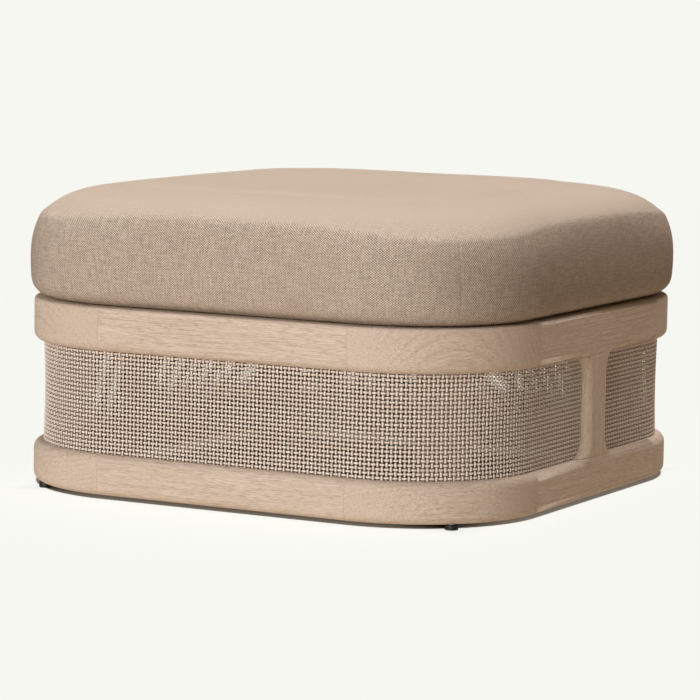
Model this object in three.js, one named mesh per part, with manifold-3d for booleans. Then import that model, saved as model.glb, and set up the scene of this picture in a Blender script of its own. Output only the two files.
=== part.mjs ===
// Outdoor ottoman footstool. A square timber frame with rounded corners has a rail below and
// a rail above, one post in the middle of each flank, and two woven cane panels that wrap
// round the corners between the posts. Inside are corner posts and a slatted deck, and on
// top lies a loose boxed cushion with a zip at the back.
// Millimetres, +Z up, front towards -Y. The origin is on the floor under the centre.

import * as THREE from "three";
import { mergeVertices } from "three/addons/utils/BufferGeometryUtils.js";
import Module from "manifold-3d";

const wasm = await Module();
wasm.setup();

// Plan of the frame
const frameSide = 813;
const cornerRadius = 203;
const railThickness = 34;

// Heights of the frame, from the floor up
const glideHeight = 8;
const bottomRailHeight = 60;
const caneOpening = 150;
const topRailHeight = 64;

// Edges of the timber
const openingRound = 12.7;
const seatEdgeRound = 5;

// Cane panels
const caneRecess = 15.2;
const caneThickness = 3.2;
const caneColumns = 12;
const caneRows = 3;
const caneHoleShare = 0.5;
const caneCutOverrun = 2;

// Posts in the middle of the flanks
const postWidth = 64;
const postFillet = 30;

// Posts inside the corners
const cornerPostWidth = 70;
const cornerPostDepth = 38;

// Slatted deck
const slatCount = 7;
const slatWidth = 75;
const slatThickness = 18;
const slatEndGap = 3;
const slatSideGap = 20;
const cleatThickness = 24;
const cleatHeight = 30;
const bearerThickness = 34;
const bearerHeight = 58;

// Levelling glides and the threaded inserts they screw into
const glidePadRadius = 9.5;
const glidePadRound = 1.5;
const glideStemRadius = 4;
const glideStemLength = 30;
const insertRadius = 6.5;
const insertLength = 16;
const glideInset = 14;

// Cushion, measured from the top of the frame
const cushionOverhang = 6;
const cushionBottomRound = 25;
const bellyHeight = 42;
const seamHeightMiddle = 136;
const seamHeightCorner = 121;
const seamInset = 9.5;
const crownHeight = 166;
const crownReach = 33;
const bellyPower = 3;
const coverThickness = 1.6;

// Zip in the back band, below the top seam
const zipDrop = 26;
const zipLength = 380;
const zipSlotWidth = 10;
const zipRecess = 1;
const tapeThickness = 0.7;
const coilWidth = 3;
const coilHeight = 0.7;
const sliderLength = 14;
const sliderWidth = 9;
const sliderNoseWidth = 6;
const sliderThickness = 1.6;
const sliderEndMargin = 5;
const bailLength = 10;
const bailWidth = 2.6;
const bailWindow = 2.5;
const bailThickness = 1;
const pullLength = 24;
const pullWidth = 7;
const pullThickness = 1.2;
const pullBarWidth = 1.4;
const pullEyeLength = 6.8;
const pullTipRound = 2.2;

// Clearances
const jointGap = 0.3;
const coverGap = 0.4;
const bailSideGap = 0.5;

// Steps of the round shapes
const cornerSteps = 10;
const cushionCornerSteps = 8;
const cushionSideSteps = 6;
const roundSteps = 3;
const bellySteps = 4;
const circleSteps = 20;
const slatEndSteps = 3;
const domeShares = [0.985, 0.96, 0.92, 0.86, 0.76, 0.55, 0.25];
const mergeReach = 1e-4;

// Worked out from the sizes above
const half = frameSide / 2;
const straightHalf = half - cornerRadius;
const quarterTurn = Math.PI / 2;
const bottomRailTop = glideHeight + bottomRailHeight;
const topRailBottom = bottomRailTop + caneOpening;
const railTop = topRailBottom + topRailHeight;
const deckUnderside = railTop - slatThickness;
const railInside = half - railThickness;
const postHalf = postWidth / 2;
const cushionBase = railTop + jointGap;
const coreDepth = coverThickness + coverGap;

const sideNames = ["right", "back", "left", "front"];
const cornerNames = ["back_right", "back_left", "front_left", "front_right"];

const timber = { color: 0xcbb293, roughness: 0.62, metalness: 0 };
const hiddenTimber = { color: 0xb79c7a, roughness: 0.7, metalness: 0 };
const cane = { color: 0xd2bfa2, roughness: 0.5, metalness: 0 };
const fabric = { color: 0xb9a68c, roughness: 0.95, metalness: 0 };
const foam = { color: 0xe6dfc8, roughness: 0.95, metalness: 0 };
const blackPlastic = { color: 0x1d1c1b, roughness: 0.55, metalness: 0 };
const steel = { color: 0x9b9b98, roughness: 0.4, metalness: 1 };
const zipPlastic = { color: 0x9d8b72, roughness: 0.6, metalness: 0 };

const footstool = new THREE.Group();

function addPart(parent, name, geometry, finish) {
  const mesh = new THREE.Mesh(geometry, new THREE.MeshStandardMaterial(finish));
  mesh.name = name;
  parent.add(mesh);
  return mesh;
}

// Solids and booleans

function toSolid(geometry) {
  const corners = geometry.index ? geometry.toNonIndexed() : geometry;
  const bare = new THREE.BufferGeometry();
  bare.setAttribute("position", corners.getAttribute("position"));
  const merged = mergeVertices(bare, mergeReach);
  return new wasm.Manifold(
    new wasm.Mesh({
      numProp: 3,
      vertProperties: new Float32Array(merged.attributes.position.array),
      triVerts: new Uint32Array(merged.index.array),
    }),
  );
}

function toGeometry(solid) {
  const mesh = solid.getMesh();
  const geometry = new THREE.BufferGeometry();
  geometry.setAttribute("position", new THREE.BufferAttribute(mesh.vertProperties, 3));
  geometry.setIndex(new THREE.BufferAttribute(mesh.triVerts, 1));
  return geometry;
}

// A closed skin over rings of points. Each ring runs anticlockwise as seen looking back
// along the way the rings follow each other, and each end is closed by its flat contour.
function skin(rings, startContour, endContour) {
  const around = rings[0].length;
  const points = rings.flat();
  const faces = [];
  for (let ring = 0; ring < rings.length - 1; ring += 1) {
    for (let i = 0; i < around; i += 1) {
      const next = (i + 1) % around;
      const a = ring * around + i;
      const b = ring * around + next;
      faces.push(a, b, b + around, a, b + around, a + around);
    }
  }
  const last = (rings.length - 1) * around;
  for (const [p, q, r] of THREE.ShapeUtils.triangulateShape(startContour, [])) {
    faces.push(r, q, p);
  }
  for (const [p, q, r] of THREE.ShapeUtils.triangulateShape(endContour, [])) {
    faces.push(last + p, last + q, last + r);
  }
  const geometry = new THREE.BufferGeometry().setFromPoints(points);
  geometry.setIndex(faces);
  return geometry;
}

function flatContour(ring) {
  return ring.map((point) => new THREE.Vector2(point.x, point.y));
}

function box(x0, x1, y0, y1, z0, z1) {
  const geometry = new THREE.BoxGeometry(x1 - x0, y1 - y0, z1 - z0);
  geometry.translate((x0 + x1) / 2, (y0 + y1) / 2, (z0 + z1) / 2);
  return geometry;
}

// A profile of [radius, height] pairs turned about +Z.
function turned(profile) {
  const points = profile.map(([radius, height]) => new THREE.Vector2(radius, height));
  const geometry = new THREE.LatheGeometry(points, circleSteps);
  geometry.rotateX(quarterTurn);
  return geometry;
}

// Stations on the outer outline of the frame: a point and the outward normal there

function arcStations(signX, signY, fromAngle, toAngle, steps) {
  return Array.from({ length: steps + 1 }, (_, i) => {
    const angle = fromAngle + ((toAngle - fromAngle) * i) / steps;
    const normal = new THREE.Vector2(Math.cos(angle), Math.sin(angle));
    const centre = new THREE.Vector2(signX * straightHalf, signY * straightHalf);
    return { point: centre.addScaledVector(normal, cornerRadius), normal };
  });
}

function straightStations(facing, from, to, steps) {
  const normal = new THREE.Vector2(Math.cos(facing), Math.sin(facing));
  const along = new THREE.Vector2(-normal.y, normal.x);
  return Array.from({ length: steps + 1 }, (_, i) => {
    const distance = from + ((to - from) * i) / steps;
    const point = normal.clone().multiplyScalar(half).addScaledVector(along, distance);
    return { point, normal };
  });
}

function chain(...stretches) {
  return stretches.flatMap((stretch, i) => (i ? stretch.slice(1) : stretch));
}

function placed(station, offset, height) {
  const point = station.point.clone().addScaledVector(station.normal, offset);
  return new THREE.Vector3(point.x, point.y, height);
}

// A section of [offset, height] pairs, anticlockwise with outward to the right and up
// upwards, carried along the stations.
function sweep(stations, sectionAt) {
  const sections = stations.map((station) => sectionAt(station).slice().reverse());
  const rings = stations.map((station, i) =>
    sections[i].map(([offset, height]) => placed(station, offset, height)),
  );
  const contours = sections.map((section) =>
    section.map(([offset, height]) => new THREE.Vector2(-offset, height)),
  );
  return skin(rings, contours[0], contours[contours.length - 1]);
}

function rectangleSection(inner, outer, low, high) {
  return [[inner, low], [outer, low], [outer, high], [inner, high]];
}

function arcPoints(centreOffset, centreHeight, radius, fromAngle, toAngle) {
  return Array.from({ length: roundSteps + 1 }, (_, i) => {
    const angle = fromAngle + ((toAngle - fromAngle) * i) / roundSteps;
    return [centreOffset + radius * Math.cos(angle), centreHeight + radius * Math.sin(angle)];
  });
}

// Rails

function railSection(low, high, lowRound, highRound) {
  return [
    [-railThickness, low],
    ...arcPoints(-lowRound, low + lowRound, lowRound, -quarterTurn, 0),
    ...arcPoints(-highRound, high - highRound, highRound, 0, quarterTurn),
    [-railThickness, high],
  ];
}

const bottomRail = {
  name: "bottom_rail",
  section: railSection(glideHeight, bottomRailTop, openingRound, openingRound),
  padLow: bottomRailTop - openingRound,
};
const topRail = {
  name: "top_rail",
  section: railSection(topRailBottom, railTop, openingRound, seatEdgeRound),
  padLow: topRailBottom,
};

function cornerBlock(rail) {
  return sweep(arcStations(1, 1, 0, quarterTurn, cornerSteps), () => rail.section);
}

function straightBlock(rail) {
  const end = straightHalf - jointGap;
  return sweep(straightStations(0, -end, end, 1), () => rail.section);
}

// The flank's rail keeps a square edge where the flared end of the post meets it.
function flankBlock(rail) {
  const padHalf = postHalf + postFillet;
  const pad = box(
    half - railThickness / 2, half, -padHalf, padHalf, rail.padLow, rail.padLow + openingRound,
  );
  return toGeometry(toSolid(straightBlock(rail)).add(toSolid(pad)));
}

// The place of the glide in the corner at +X, +Y, set in from the rail's face
const glideReach = straightHalf + (cornerRadius - glideInset) * Math.SQRT1_2;

function drilledCornerBlock() {
  const holeRadius = insertRadius + jointGap;
  const holeDepth = glideStemLength + jointGap;
  const drill = new THREE.CylinderGeometry(holeRadius, holeRadius, 2 * holeDepth, circleSteps);
  drill.rotateX(quarterTurn);
  drill.translate(glideReach, glideReach, glideHeight);
  return toGeometry(toSolid(cornerBlock(bottomRail)).subtract(toSolid(drill)));
}

function addRails() {
  sideNames.forEach((side, i) => {
    for (const rail of [bottomRail, topRail]) {
      const isFlank = side === "left" || side === "right";
      const geometry = isFlank ? flankBlock(rail) : straightBlock(rail);
      addPart(footstool, rail.name + "_" + side, geometry, timber).rotation.z = i * quarterTurn;
    }
  });
  cornerNames.forEach((corner, i) => {
    const low = addPart(footstool, "bottom_rail_" + corner, drilledCornerBlock(), timber);
    const high = addPart(footstool, "top_rail_" + corner, cornerBlock(topRail), timber);
    low.rotation.z = i * quarterTurn;
    high.rotation.z = i * quarterTurn;
  });
}

// Posts

// The post's face spreads into the rails by a round fillet at each end.
function postFaceHalf(distanceFromRail) {
  const rise = Math.max(postFillet - distanceFromRail, 0);
  return postHalf + postFillet - Math.sqrt(postFillet ** 2 - rise ** 2);
}

function postFaceRing(height, halfWidth) {
  const back = half - caneRecess + jointGap;
  const inner = halfWidth - openingRound;
  const corner = (fromAngle, y) =>
    arcPoints(half - openingRound, y, openingRound, fromAngle, fromAngle + quarterTurn);
  const outline = [
    [back, -halfWidth],
    ...corner(-quarterTurn, -inner),
    ...corner(0, inner),
    [back, halfWidth],
  ];
  return outline.map(([x, y]) => new THREE.Vector3(x, y, height));
}

function sidePost() {
  const low = bottomRailTop + jointGap;
  const high = topRailBottom - jointGap;
  const steps = 2 * roundSteps;
  const climbs = Array.from({ length: steps + 1 }, (_, i) => (postFillet * i) / steps);
  const levels = [
    ...climbs.map((climb) => [low + climb, climb]),
    ...climbs.reverse().map((climb) => [high - climb, climb]),
  ];
  const rings = levels.map(([height, climb]) => postFaceRing(height, postFaceHalf(climb)));
  const face = skin(rings, flatContour(rings[0]), flatContour(rings[rings.length - 1]));
  const shank = box(railInside, half - openingRound, -postHalf, postHalf, low, high);
  return toGeometry(toSolid(face).add(toSolid(shank)));
}

// A square-cut post stands across the corner, its outer edges against the rails' inner face.
function cornerPost() {
  const halfStep = quarterTurn / cornerSteps / 2;
  const edgeReach = (cornerRadius - railThickness) * Math.cos(halfStep) - jointGap;
  const face = Math.sqrt(edgeReach ** 2 - (cornerPostWidth / 2) ** 2);
  const geometry = box(
    face - cornerPostDepth, face, -cornerPostWidth / 2, cornerPostWidth / 2,
    glideHeight, deckUnderside - jointGap,
  );
  geometry.rotateZ(quarterTurn / 2);
  geometry.translate(straightHalf, straightHalf, 0);
  return geometry;
}

function addPosts() {
  addPart(footstool, "side_post_right", sidePost(), timber);
  addPart(footstool, "side_post_left", sidePost(), timber).rotation.z = Math.PI;
  cornerNames.forEach((corner, i) => {
    const post = addPart(footstool, "corner_post_" + corner, cornerPost(), hiddenTimber);
    post.rotation.z = i * quarterTurn;
  });
}

// Cane panels: the front one runs from the left post round both front corners to the right

const caneRadius = cornerRadius - caneRecess;
const caneFlankRun = straightHalf - postHalf - jointGap;
const caneCornerRun = caneRadius * quarterTurn;
const caneRun = 2 * (caneFlankRun + caneCornerRun + straightHalf);
const caneHeight = caneOpening - 2 * jointGap;

// The stations of the front panel between two distances along it from the left post
function caneStations(from, to) {
  const flank = (facing, offset) => (start, end) =>
    straightStations(facing, offset + start, offset + end, 1);
  const corner = (signX, facing) => (start, end) => {
    const steps = Math.max(1, Math.round((cornerSteps * (end - start)) / caneCornerRun));
    const [fromAngle, toAngle] = [facing + start / caneRadius, facing + end / caneRadius];
    return arcStations(signX, -1, fromAngle, toAngle, steps);
  };
  const stretches = [
    [caneFlankRun, flank(2 * quarterTurn, postHalf + jointGap)],
    [caneCornerRun, corner(-1, 2 * quarterTurn)],
    [2 * straightHalf, flank(3 * quarterTurn, -straightHalf)],
    [caneCornerRun, corner(1, 3 * quarterTurn)],
    [caneFlankRun, flank(4 * quarterTurn, -straightHalf)],
  ];
  const parts = [];
  let passed = 0;
  for (const [run, stationsBetween] of stretches) {
    const start = Math.max(from - passed, 0);
    const end = Math.min(to - passed, run);
    if (end - start > mergeReach) parts.push(stationsBetween(start, end));
    passed += run;
  }
  return chain(...parts);
}

// The weave as a plain grid: as open as the cane, with far fewer and larger openings
function caneHole(column, row) {
  const [columnPitch, rowPitch] = [caneRun / caneColumns, caneHeight / caneRows];
  const along = (column + (1 - caneHoleShare) / 2) * columnPitch;
  const low = bottomRailTop + jointGap + (row + (1 - caneHoleShare) / 2) * rowPitch;
  const section = rectangleSection(
    -caneRecess - caneThickness - caneCutOverrun, -caneRecess + caneCutOverrun,
    low, low + caneHoleShare * rowPitch,
  );
  return toSolid(sweep(caneStations(along, along + caneHoleShare * columnPitch), () => section));
}

function canePanel() {
  const section = rectangleSection(
    -caneRecess - caneThickness, -caneRecess, bottomRailTop + jointGap, topRailBottom - jointGap,
  );
  let panel = toSolid(sweep(caneStations(0, caneRun), () => section));
  for (let column = 0; column < caneColumns; column += 1) {
    for (let row = 0; row < caneRows; row += 1) {
      panel = panel.subtract(caneHole(column, row));
    }
  }
  return toGeometry(panel);
}

function addCane() {
  addPart(footstool, "cane_panel_front", canePanel(), cane);
  addPart(footstool, "cane_panel_back", canePanel(), cane).rotation.z = Math.PI;
}

// Deck

// How far towards the front and back the deck reaches at a distance x from the middle
function deckReach(x) {
  const radius = cornerRadius - railThickness - slatEndGap;
  const past = Math.max(Math.abs(x) - straightHalf, 0);
  return straightHalf + Math.sqrt(radius ** 2 - past ** 2);
}

function slat(centre) {
  const edges = Array.from(
    { length: slatEndSteps + 1 },
    (_, i) => centre - slatWidth / 2 + (slatWidth * i) / slatEndSteps,
  );
  const outline = [
    ...edges.map((x) => new THREE.Vector2(x, -deckReach(x))),
    ...edges.reverse().map((x) => new THREE.Vector2(x, deckReach(x))),
  ];
  return new THREE.ExtrudeGeometry(new THREE.Shape(outline), {
    depth: slatThickness,
    bevelEnabled: false,
  });
}

function addDeck() {
  const firstCentre = -(railInside - slatSideGap - slatWidth / 2);
  const pitch = (-2 * firstCentre) / (slatCount - 1);
  for (let i = 0; i < slatCount; i += 1) {
    const mesh = addPart(
      footstool, "deck_slat_" + (i + 1), slat(firstCentre + i * pitch), hiddenTimber,
    );
    mesh.position.z = deckUnderside;
  }
  const top = deckUnderside - jointGap;
  const wall = railInside - jointGap;
  const cleat = () =>
    box(-straightHalf, straightHalf, -wall, -wall + cleatThickness, top - cleatHeight, top);
  addPart(footstool, "deck_cleat_front", cleat(), hiddenTimber);
  addPart(footstool, "deck_cleat_back", cleat(), hiddenTimber).rotation.z = Math.PI;
  const bearer = box(
    -wall, wall, -bearerThickness / 2, bearerThickness / 2, top - bearerHeight, top,
  );
  addPart(footstool, "deck_bearer", bearer, hiddenTimber);
}

// Glides

function glide() {
  const padTop = glideHeight - jointGap;
  return turned([
    [0, 0],
    [glidePadRadius - glidePadRound, 0],
    [glidePadRadius, glidePadRound],
    [glidePadRadius, padTop],
    [glideStemRadius, padTop],
    [glideStemRadius, glideHeight + glideStemLength - jointGap],
    [0, glideHeight + glideStemLength - jointGap],
  ]);
}

function glideInsert() {
  const bore = glideStemRadius + jointGap;
  const low = glideHeight;
  const high = glideHeight + insertLength;
  return turned([[bore, low], [insertRadius, low], [insertRadius, high], [bore, high], [bore, low]]);
}

function addGlides() {
  cornerNames.forEach((corner, i) => {
    const group = new THREE.Group();
    group.rotation.z = i * quarterTurn;
    footstool.add(group);
    const foot = addPart(group, "glide_" + corner, glide(), blackPlastic);
    const insert = addPart(group, "glide_insert_" + corner, glideInsert(), steel);
    foot.position.set(glideReach, glideReach, 0);
    insert.position.set(glideReach, glideReach, 0);
  });
}

// Cushion

// The top seam rides up between the corners and drops at them.
function seamHeight(station) {
  const direction = Math.atan2(station.point.y, station.point.x);
  const drop = Math.sin(2 * direction) ** 4;
  return seamHeightMiddle - (seamHeightMiddle - seamHeightCorner) * drop;
}

// How far the side stands out at a height above the belly
function sideOffset(height, seam) {
  const share = Math.max(height - bellyHeight, 0) / (seam - bellyHeight);
  return cushionOverhang - (cushionOverhang + seamInset) * share ** bellyPower;
}

// The cushion's side from the flat bottom up to the seam, at a depth inside the cover
function sideProfile(seam, depth, topHeight) {
  const foot = arcPoints(
    cushionOverhang - cushionBottomRound, cushionBottomRound,
    cushionBottomRound - depth, -quarterTurn, 0,
  );
  const climb = Array.from({ length: bellySteps + 1 }, (_, i) => {
    const height = bellyHeight + ((topHeight - bellyHeight) * i) / bellySteps;
    return [sideOffset(height, seam) - depth, height];
  });
  return [...foot, ...climb];
}

function cushionStations(quarter) {
  const facing = quarter * quarterTurn;
  const eighth = quarterTurn / 2;
  const signs = [[1, -1], [1, 1], [-1, 1], [-1, -1], [1, -1]];
  return chain(
    arcStations(...signs[quarter], facing - eighth, facing, cushionCornerSteps / 2),
    straightStations(facing, -straightHalf, straightHalf, cushionSideSteps),
    arcStations(...signs[quarter + 1], facing, facing + eighth, cushionCornerSteps / 2),
  );
}

const cushionOutline = sideNames.flatMap((_, quarter) => cushionStations(quarter).slice(1));

// A ring of the domed top: the seam's outline drawn in to a share of its size
function domeRing(share, depth) {
  return cushionOutline.map((station) => {
    const seam = seamHeight(station);
    const inward = (1 - share) * (half - seamInset);
    const rise = (crownHeight - seam) * (1 - Math.exp(-inward / crownReach));
    const rim = placed(station, -seamInset - depth, 0);
    return new THREE.Vector3(rim.x * share, rim.y * share, seam + rise - depth);
  });
}

function cushionCore() {
  const profiles = cushionOutline.map((station) => {
    const seam = seamHeight(station);
    return sideProfile(seam, coreDepth, seam - coreDepth);
  });
  const sides = profiles[0].map((_, level) =>
    cushionOutline.map((station, i) => placed(station, ...profiles[i][level])),
  );
  const rings = [...sides, ...domeShares.map((share) => domeRing(share, coreDepth))];
  return skin(rings, flatContour(rings[0]), flatContour(rings[rings.length - 1]));
}

function cushionTopPanel() {
  const underside = domeShares.map((share) => domeRing(share, coverThickness)).reverse();
  const rimAt = (depth) =>
    cushionOutline.map((station) => placed(station, -seamInset - depth, seamHeight(station)));
  const outside = domeShares.map((share) => domeRing(share, 0));
  const rings = [...underside, rimAt(coverThickness), rimAt(0), ...outside];
  return skin(rings, flatContour(rings[0]), flatContour(rings[rings.length - 1]));
}

function cushionBottomPanel() {
  const offset = cushionOverhang - cushionBottomRound - jointGap;
  const rings = [0, coverThickness].map((height) =>
    cushionOutline.map((station) => placed(station, offset, height)),
  );
  return skin(rings, flatContour(rings[0]), flatContour(rings[1]));
}

// One band of the side, from the middle of one corner to the middle of the next
function cushionBand() {
  return sweep(trimmedEnds(cushionStations(0)), (station) => {
    const seam = seamHeight(station);
    const outside = sideProfile(seam, 0, seam - jointGap);
    const inside = sideProfile(seam, coverThickness, seam - jointGap);
    return [...outside, ...inside.reverse()];
  });
}

// The band's end stations turned back a little, so that two bands don't touch at the seam
function trimmedEnds(stations) {
  const eighth = quarterTurn / 2;
  const back = jointGap / 2 / (cornerRadius - cushionBottomRound);
  const first = arcStations(1, -1, back - eighth, 0, 1)[0];
  const last = arcStations(1, 1, 0, eighth - back, 1)[1];
  return [first, ...stations.slice(1, -1), last];
}

// The back band's surface at the zip: offsets at the two edges of the slot
const zipHeight = seamHeightMiddle - zipDrop;
const zipLow = zipHeight - zipSlotWidth / 2;
const zipHigh = zipHeight + zipSlotWidth / 2;
const zipLowOffset = sideOffset(zipLow, seamHeightMiddle);
const zipHighOffset = sideOffset(zipHigh, seamHeightMiddle);
const zipTilt = Math.atan2(zipLowOffset - zipHighOffset, zipSlotWidth);

function slottedBand() {
  const slot = box(
    half - seamInset - cushionBottomRound, half + cushionOverhang + seamInset,
    -zipLength / 2, zipLength / 2, zipLow, zipHigh,
  );
  return toGeometry(toSolid(cushionBand()).subtract(toSolid(slot)));
}

// The zip's tape closes the slot, with the coil standing along its middle.
function zipTape() {
  const end = zipLength / 2 - jointGap;
  const section = [
    [-tapeThickness, jointGap],
    [0, jointGap],
    [0, (zipSlotWidth - coilWidth) / 2],
    [coilHeight, (zipSlotWidth - coilWidth) / 2],
    [coilHeight, (zipSlotWidth + coilWidth) / 2],
    [0, (zipSlotWidth + coilWidth) / 2],
    [0, zipSlotWidth - jointGap],
    [-tapeThickness, zipSlotWidth - jointGap],
  ];
  const slope = (zipHighOffset - zipLowOffset) / zipSlotWidth;
  const leaning = section.map(([offset, height]) => [
    zipLowOffset - zipRecess + offset + slope * height,
    zipLow + height,
  ]);
  return sweep(straightStations(0, -end, end, 1), () => leaning);
}

// The slider's own frame: X along the zip, Y out of the cushion, Z up the band
function zipSlider() {
  const tail = sliderLength / 2;
  const plateOutline = new THREE.Shape([
    new THREE.Vector2(-tail, -sliderWidth / 2),
    new THREE.Vector2(bailLength / 2, -sliderWidth / 2),
    new THREE.Vector2(tail, -sliderNoseWidth / 2),
    new THREE.Vector2(tail, sliderNoseWidth / 2),
    new THREE.Vector2(bailLength / 2, sliderWidth / 2),
    new THREE.Vector2(-tail, sliderWidth / 2),
  ]);
  const plate = new THREE.ExtrudeGeometry(plateOutline, {
    depth: sliderThickness,
    bevelEnabled: false,
  });
  plate.rotateX(-quarterTurn);
  const foot = bailLength / 2;
  const inner = foot - bailThickness;
  const windowTop = sliderThickness + bailWindow;
  const bailOutline = new THREE.Shape([
    new THREE.Vector2(-foot, sliderThickness / 2),
    new THREE.Vector2(-inner, sliderThickness / 2),
    new THREE.Vector2(-inner, windowTop),
    new THREE.Vector2(inner, windowTop),
    new THREE.Vector2(inner, sliderThickness / 2),
    new THREE.Vector2(foot, sliderThickness / 2),
    new THREE.Vector2(foot, windowTop),
    new THREE.Vector2(inner, windowTop + bailThickness),
    new THREE.Vector2(-inner, windowTop + bailThickness),
    new THREE.Vector2(-foot, windowTop),
  ]);
  const bail = new THREE.ExtrudeGeometry(bailOutline, { depth: bailWidth, bevelEnabled: false });
  bail.translate(0, 0, -bailWidth / 2);
  return toGeometry(toSolid(plate).add(toSolid(bail)));
}

// The pull hangs from a bar under the bail and lies along the zip, bar at its own origin.
function zipPull() {
  const side = pullWidth / 2;
  const bar = pullBarWidth / 2;
  const eye = bailWidth / 2 + bailSideGap;
  const far = pullLength - bar;
  const outline = new THREE.Shape([
    new THREE.Vector2(bar, -side),
    new THREE.Vector2(bar, side),
    new THREE.Vector2(pullTipRound - far, side),
    new THREE.Vector2(-far, side - pullTipRound),
    new THREE.Vector2(-far, pullTipRound - side),
    new THREE.Vector2(pullTipRound - far, -side),
  ]);
  outline.holes.push(
    new THREE.Path([
      new THREE.Vector2(-bar, -eye),
      new THREE.Vector2(-bar, eye),
      new THREE.Vector2(-bar - pullEyeLength, eye),
      new THREE.Vector2(-bar - pullEyeLength, -eye),
    ]),
  );
  const geometry = new THREE.ExtrudeGeometry(outline, {
    depth: pullThickness,
    bevelEnabled: false,
  });
  geometry.translate(0, 0, -pullThickness / 2);
  geometry.rotateX(-quarterTurn);
  return geometry;
}

function addZip(cushion) {
  addPart(cushion, "zip_tape", zipTape(), zipPlastic).rotation.z = quarterTurn;
  const running = new THREE.Group();
  const middleOffset = (zipLowOffset + zipHighOffset) / 2 - zipRecess + coilHeight + jointGap;
  const restX = zipLength / 2 - sliderEndMargin - sliderLength / 2;
  running.position.set(restX, half + middleOffset, zipHeight);
  running.rotation.x = zipTilt;
  cushion.add(running);
  addPart(running, "zip_slider", zipSlider(), steel);
  const pull = addPart(running, "zip_pull", zipPull(), steel);
  pull.position.y = sliderThickness + bailWindow / 2;
}

function addCushion() {
  const cushion = new THREE.Group();
  cushion.position.z = cushionBase;
  footstool.add(cushion);
  addPart(cushion, "cushion_core", cushionCore(), foam);
  addPart(cushion, "cushion_top_panel", cushionTopPanel(), fabric);
  addPart(cushion, "cushion_bottom_panel", cushionBottomPanel(), fabric);
  sideNames.forEach((side, i) => {
    const band = side === "back" ? slottedBand() : cushionBand();
    addPart(cushion, "cushion_band_" + side, band, fabric).rotation.z = i * quarterTurn;
  });
  addZip(cushion);
}

addRails();
addPosts();
addCane();
addDeck();
addGlides();
addCushion();

export default footstool;
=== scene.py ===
import math
import random

import bmesh
import bpy
import numpy as np
from mathutils import Matrix, Vector


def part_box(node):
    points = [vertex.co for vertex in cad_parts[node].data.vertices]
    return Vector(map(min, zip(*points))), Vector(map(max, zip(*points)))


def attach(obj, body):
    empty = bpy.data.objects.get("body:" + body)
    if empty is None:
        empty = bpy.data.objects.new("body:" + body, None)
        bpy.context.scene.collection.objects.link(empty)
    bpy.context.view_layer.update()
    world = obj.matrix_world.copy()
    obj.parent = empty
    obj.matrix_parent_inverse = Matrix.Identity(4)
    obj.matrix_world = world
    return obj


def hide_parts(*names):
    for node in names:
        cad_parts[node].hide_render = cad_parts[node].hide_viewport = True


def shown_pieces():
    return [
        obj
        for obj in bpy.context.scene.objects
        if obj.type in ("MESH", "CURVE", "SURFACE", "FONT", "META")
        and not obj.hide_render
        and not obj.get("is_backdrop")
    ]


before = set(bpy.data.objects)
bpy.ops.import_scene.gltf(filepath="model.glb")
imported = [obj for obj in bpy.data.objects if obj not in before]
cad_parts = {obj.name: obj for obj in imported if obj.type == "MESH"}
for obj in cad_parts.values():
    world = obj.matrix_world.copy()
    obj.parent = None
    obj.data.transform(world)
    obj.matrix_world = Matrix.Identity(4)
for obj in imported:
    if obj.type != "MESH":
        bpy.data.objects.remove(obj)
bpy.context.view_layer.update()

# Sizes read from the frame
corner_low, corner_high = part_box("top_rail_back_right")
HALF = corner_high.x
STRAIGHT = corner_low.x
RADIUS = HALF - STRAIGHT
rail_low, rail_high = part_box("top_rail_back")
RAIL_THICKNESS = rail_high.y - rail_low.y
TOP_RAIL = (rail_low.z, rail_high.z)
BOTTOM_RAIL = (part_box("bottom_rail_back")[0].z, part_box("bottom_rail_back")[1].z)
CANE_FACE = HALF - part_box("cane_panel_back")[1].y
CUSHION_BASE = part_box("cushion_core")[0].z

# Timber
OPENING_ROUND = 0.0127
SEAT_EDGE_ROUND = 0.005
INNER_EDGE_ROUND = 0.0015
GLUE_LINE_EASE = 0.0003
GLUE_LINE_GAP = 0.0001
POST_FILLET = 0.030
POST_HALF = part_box("side_post_right")[1].y - POST_FILLET
ROUND_SEGMENTS = 8
FILLET_SEGMENTS = 12
CORNER_STEPS = 40
HIDDEN_ROUND = 0.0015
SCREW_RADIUS = 0.0042
SCREW_RISE = 0.00015
SCREW_SOCKET_DEPTH = 0.0012

# Cane
CANE_PITCH = 0.00635
CANE_WIDTH = 0.00335
CANE_THICKNESS = 0.0014
CANE_WAVE = 0.0008
CANE_CENTRE = CANE_FACE + 0.0002
CANE_BOW = 0.0022
CANE_GROOVE = 0.0005
CANE_STEPS = 3
CANE_JITTER = 0.00018
CANE_ROUND_SHARES = [(-1, -0.2), (-0.62, 0.78), (0.62, 0.78), (1, -0.2), (0.5, -1), (-0.5, -1)]
CANE_LENGTH = 4 * STRAIGHT - 2 * POST_HALF + math.pi * (RADIUS - CANE_CENTRE)
CANE_LOW = BOTTOM_RAIL[1]
CANE_HEIGHT = TOP_RAIL[0] - BOTTOM_RAIL[1]
UPRIGHTS = 2 * round(CANE_LENGTH / CANE_PITCH / 2)
ROWS = round(CANE_HEIGHT / CANE_PITCH)

# Levelling glides
GLIDE_STEM = 0.004
GLIDE_CLEARANCE = 0.0003
PAD_ROUND = 0.0015
PAD_CHAMFER = 0.0006
THREAD_START = 0.0008
THREAD_DEPTH = 0.0005
THREAD_HALF = 0.0006
THREAD_PITCH = 0.00125
THREAD_END = 0.002

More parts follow.
